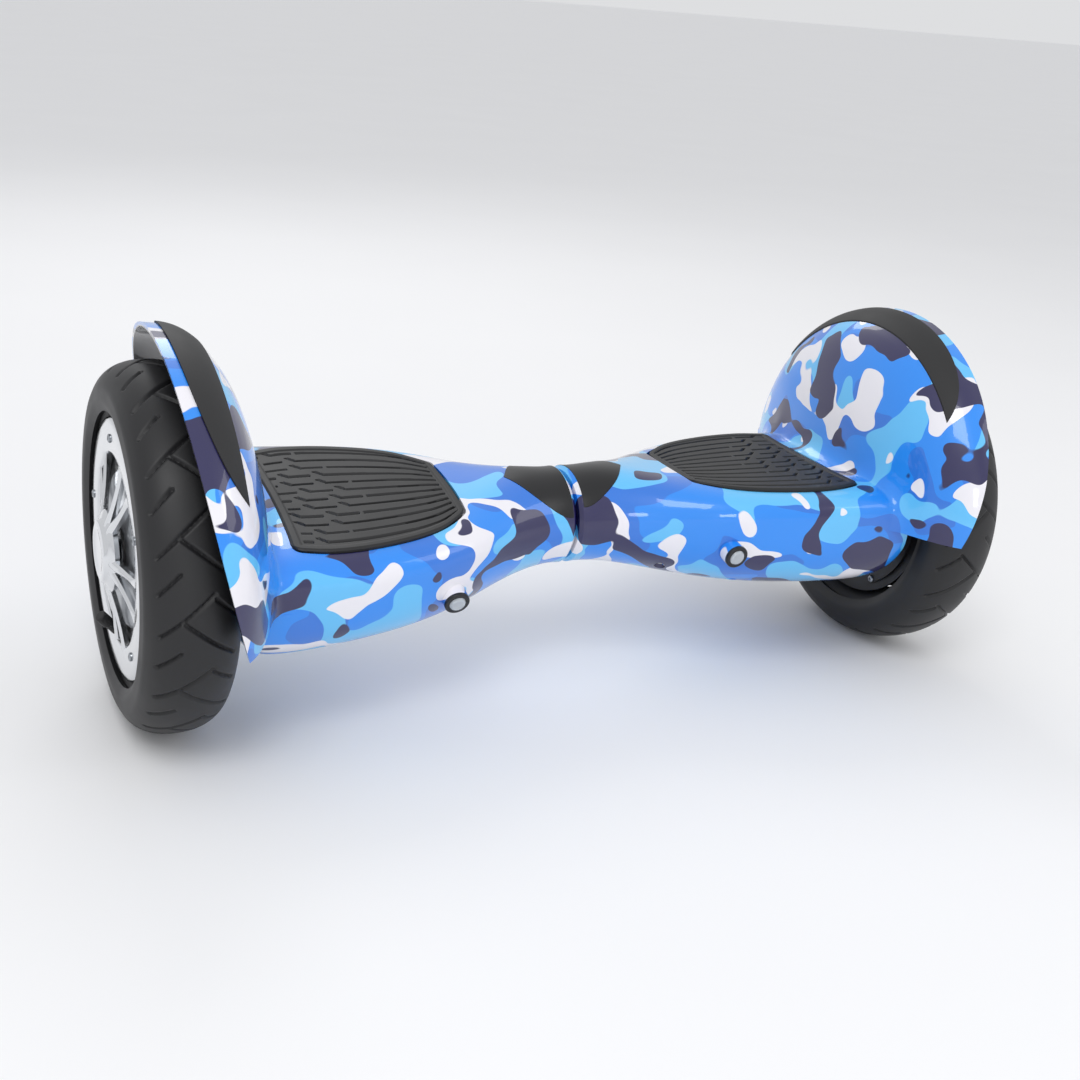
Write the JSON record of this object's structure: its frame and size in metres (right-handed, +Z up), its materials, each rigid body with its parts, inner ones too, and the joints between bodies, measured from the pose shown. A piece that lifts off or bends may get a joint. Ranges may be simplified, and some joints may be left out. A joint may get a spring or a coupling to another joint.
{
  "type": "self balancing hoverboard",
  "caption": "Self balancing board: two halves twisting on a central tube, hub motor wheel with pneumatic tyre at each end, rubber foot pads, fenders and lamps.",
  "frame": {"origin": "on the ground under the middle of the board", "axes": "+X along the axles towards the right wheel, -Y the front, +Z up"},
  "size_m": [0.688, 0.2925, 0.2791],
  "materials": {
    "shell_gloss": "moulded ABS with a printed camouflage film and clear coat",
    "bumper_rubber": "satin rubber",
    "panel_black": "fine matte moulding",
    "screw_steel": "zinc plated",
    "frame_cast": "die cast, as cast",
    "axle_steel": "ground",
    "stator_steel": "laminated sheet",
    "coil_copper": "enamelled copper wire",
    "board_green": "solder mask",
    "bezel_black": "fine texture",
    "lamp_lens": "faceted clear lens",
    "rim_black": "die cast, satin",
    "magnet_nickel": "nickel plated",
    "hub_black": "satin black paint",
    "tyre_rubber": "moulded rubber",
    "valve_brass": "turned",
    "spoke_silver": "polished silver",
    "pad_rubber": "moulded ribbed rubber",
    "battery_wrap": "shrink wrap",
    "bush_nylon": "moulded nylon",
    "port_black": "moulded",
    "button_silver": "satin grey cap"
  },
  "bodies": {
    "right_half": {"upper_shell_r": "shell_gloss", "lower_shell_r": "shell_gloss", "fender_bumper_r": "bumper_rubber", "centre_panel_r": "panel_black", "shell_screws_r": "screw_steel", "frame_r": "frame_cast", "axle_clamp_r": "frame_cast", "clamp_screws_r": "screw_steel", "axle_r": "axle_steel", "stator_r": "stator_steel", "windings_r": "coil_copper", "sensor_board_r": "board_green", "led_bezel_r": "bezel_black", "led_lens_r": "lamp_lens", "pivot_tube": "axle_steel", "pivot_clip": "axle_steel", "battery_pack": "battery_wrap"},
    "left_half": {"upper_shell_l": "shell_gloss", "lower_shell_l": "shell_gloss", "fender_bumper_l": "bumper_rubber", "centre_panel_l": "panel_black", "shell_screws_l": "screw_steel", "frame_l": "frame_cast", "axle_clamp_l": "frame_cast", "clamp_screws_l": "screw_steel", "axle_l": "axle_steel", "stator_l": "stator_steel", "windings_l": "coil_copper", "sensor_board_l": "board_green", "led_bezel_l": "bezel_black", "led_lens_l": "lamp_lens", "pivot_bushes": "bush_nylon", "main_board": "board_green", "charge_port": "port_black", "port_cover_pin": "axle_steel", "power_switch": "port_black"},
    "right_wheel": {"rim_r": "rim_black", "magnets_r": "magnet_nickel", "hub_cover_r": "hub_black", "bearings_r": "axle_steel", "tyre_r": "tyre_rubber", "inner_tube_r": "bumper_rubber", "valve_r": "valve_brass", "spoke_cover_r": "spoke_silver", "cover_screws_r": "screw_steel"},
    "left_wheel": {"rim_l": "rim_black", "magnets_l": "magnet_nickel", "hub_cover_l": "hub_black", "bearings_l": "axle_steel", "tyre_l": "tyre_rubber", "inner_tube_l": "bumper_rubber", "valve_l": "valve_brass", "spoke_cover_l": "spoke_silver", "cover_screws_l": "screw_steel"},
    "right_pad": {"foot_pad_r": "pad_rubber"},
    "left_pad": {"foot_pad_l": "pad_rubber"},
    "port_cover": {"port_cover": "bumper_rubber"},
    "power_button": {"power_button": "button_silver"}
  },
  "joints": [
    {"name": "half_twist", "type": "hinge", "parent": "right_half", "child": "left_half", "pos_m": [0, 0, 0.127], "axis": [1, 0, 0], "range_deg": [-26, 4]},
    {"name": "right_wheel_spin", "type": "hinge", "parent": "right_half", "child": "right_wheel", "pos_m": [0.3045, 0, 0.127], "axis": [1, 0, 0], "continuous": true},
    {"name": "left_wheel_spin", "type": "hinge", "parent": "left_half", "child": "left_wheel", "pos_m": [-0.3045, 0, 0.127], "axis": [1, 0, 0], "continuous": true},
    {"name": "right_pad_press", "type": "slide", "parent": "right_half", "child": "right_pad", "axis": [0, 0, -1], "range_m": [0, 0.0015], "stiffness_N_per_m": 20000},
    {"name": "left_pad_press", "type": "slide", "parent": "left_half", "child": "left_pad", "axis": [0, 0.1908, -0.9816], "range_m": [0, 0.0015], "stiffness_N_per_m": 20000},
    {"name": "power_button_press", "type": "slide", "parent": "left_half", "child": "power_button", "axis": [0, -0.9816, -0.1908], "range_m": [0, 0.0012], "stiffness_N_per_m": 1500},
    {"name": "port_cover_swing", "type": "hinge", "parent": "left_half", "child": "port_cover", "pos_m": [-0.14, 0.09057, 0.139], "axis": [1, 0, 0], "range_deg": [0, 110]}
  ]
}
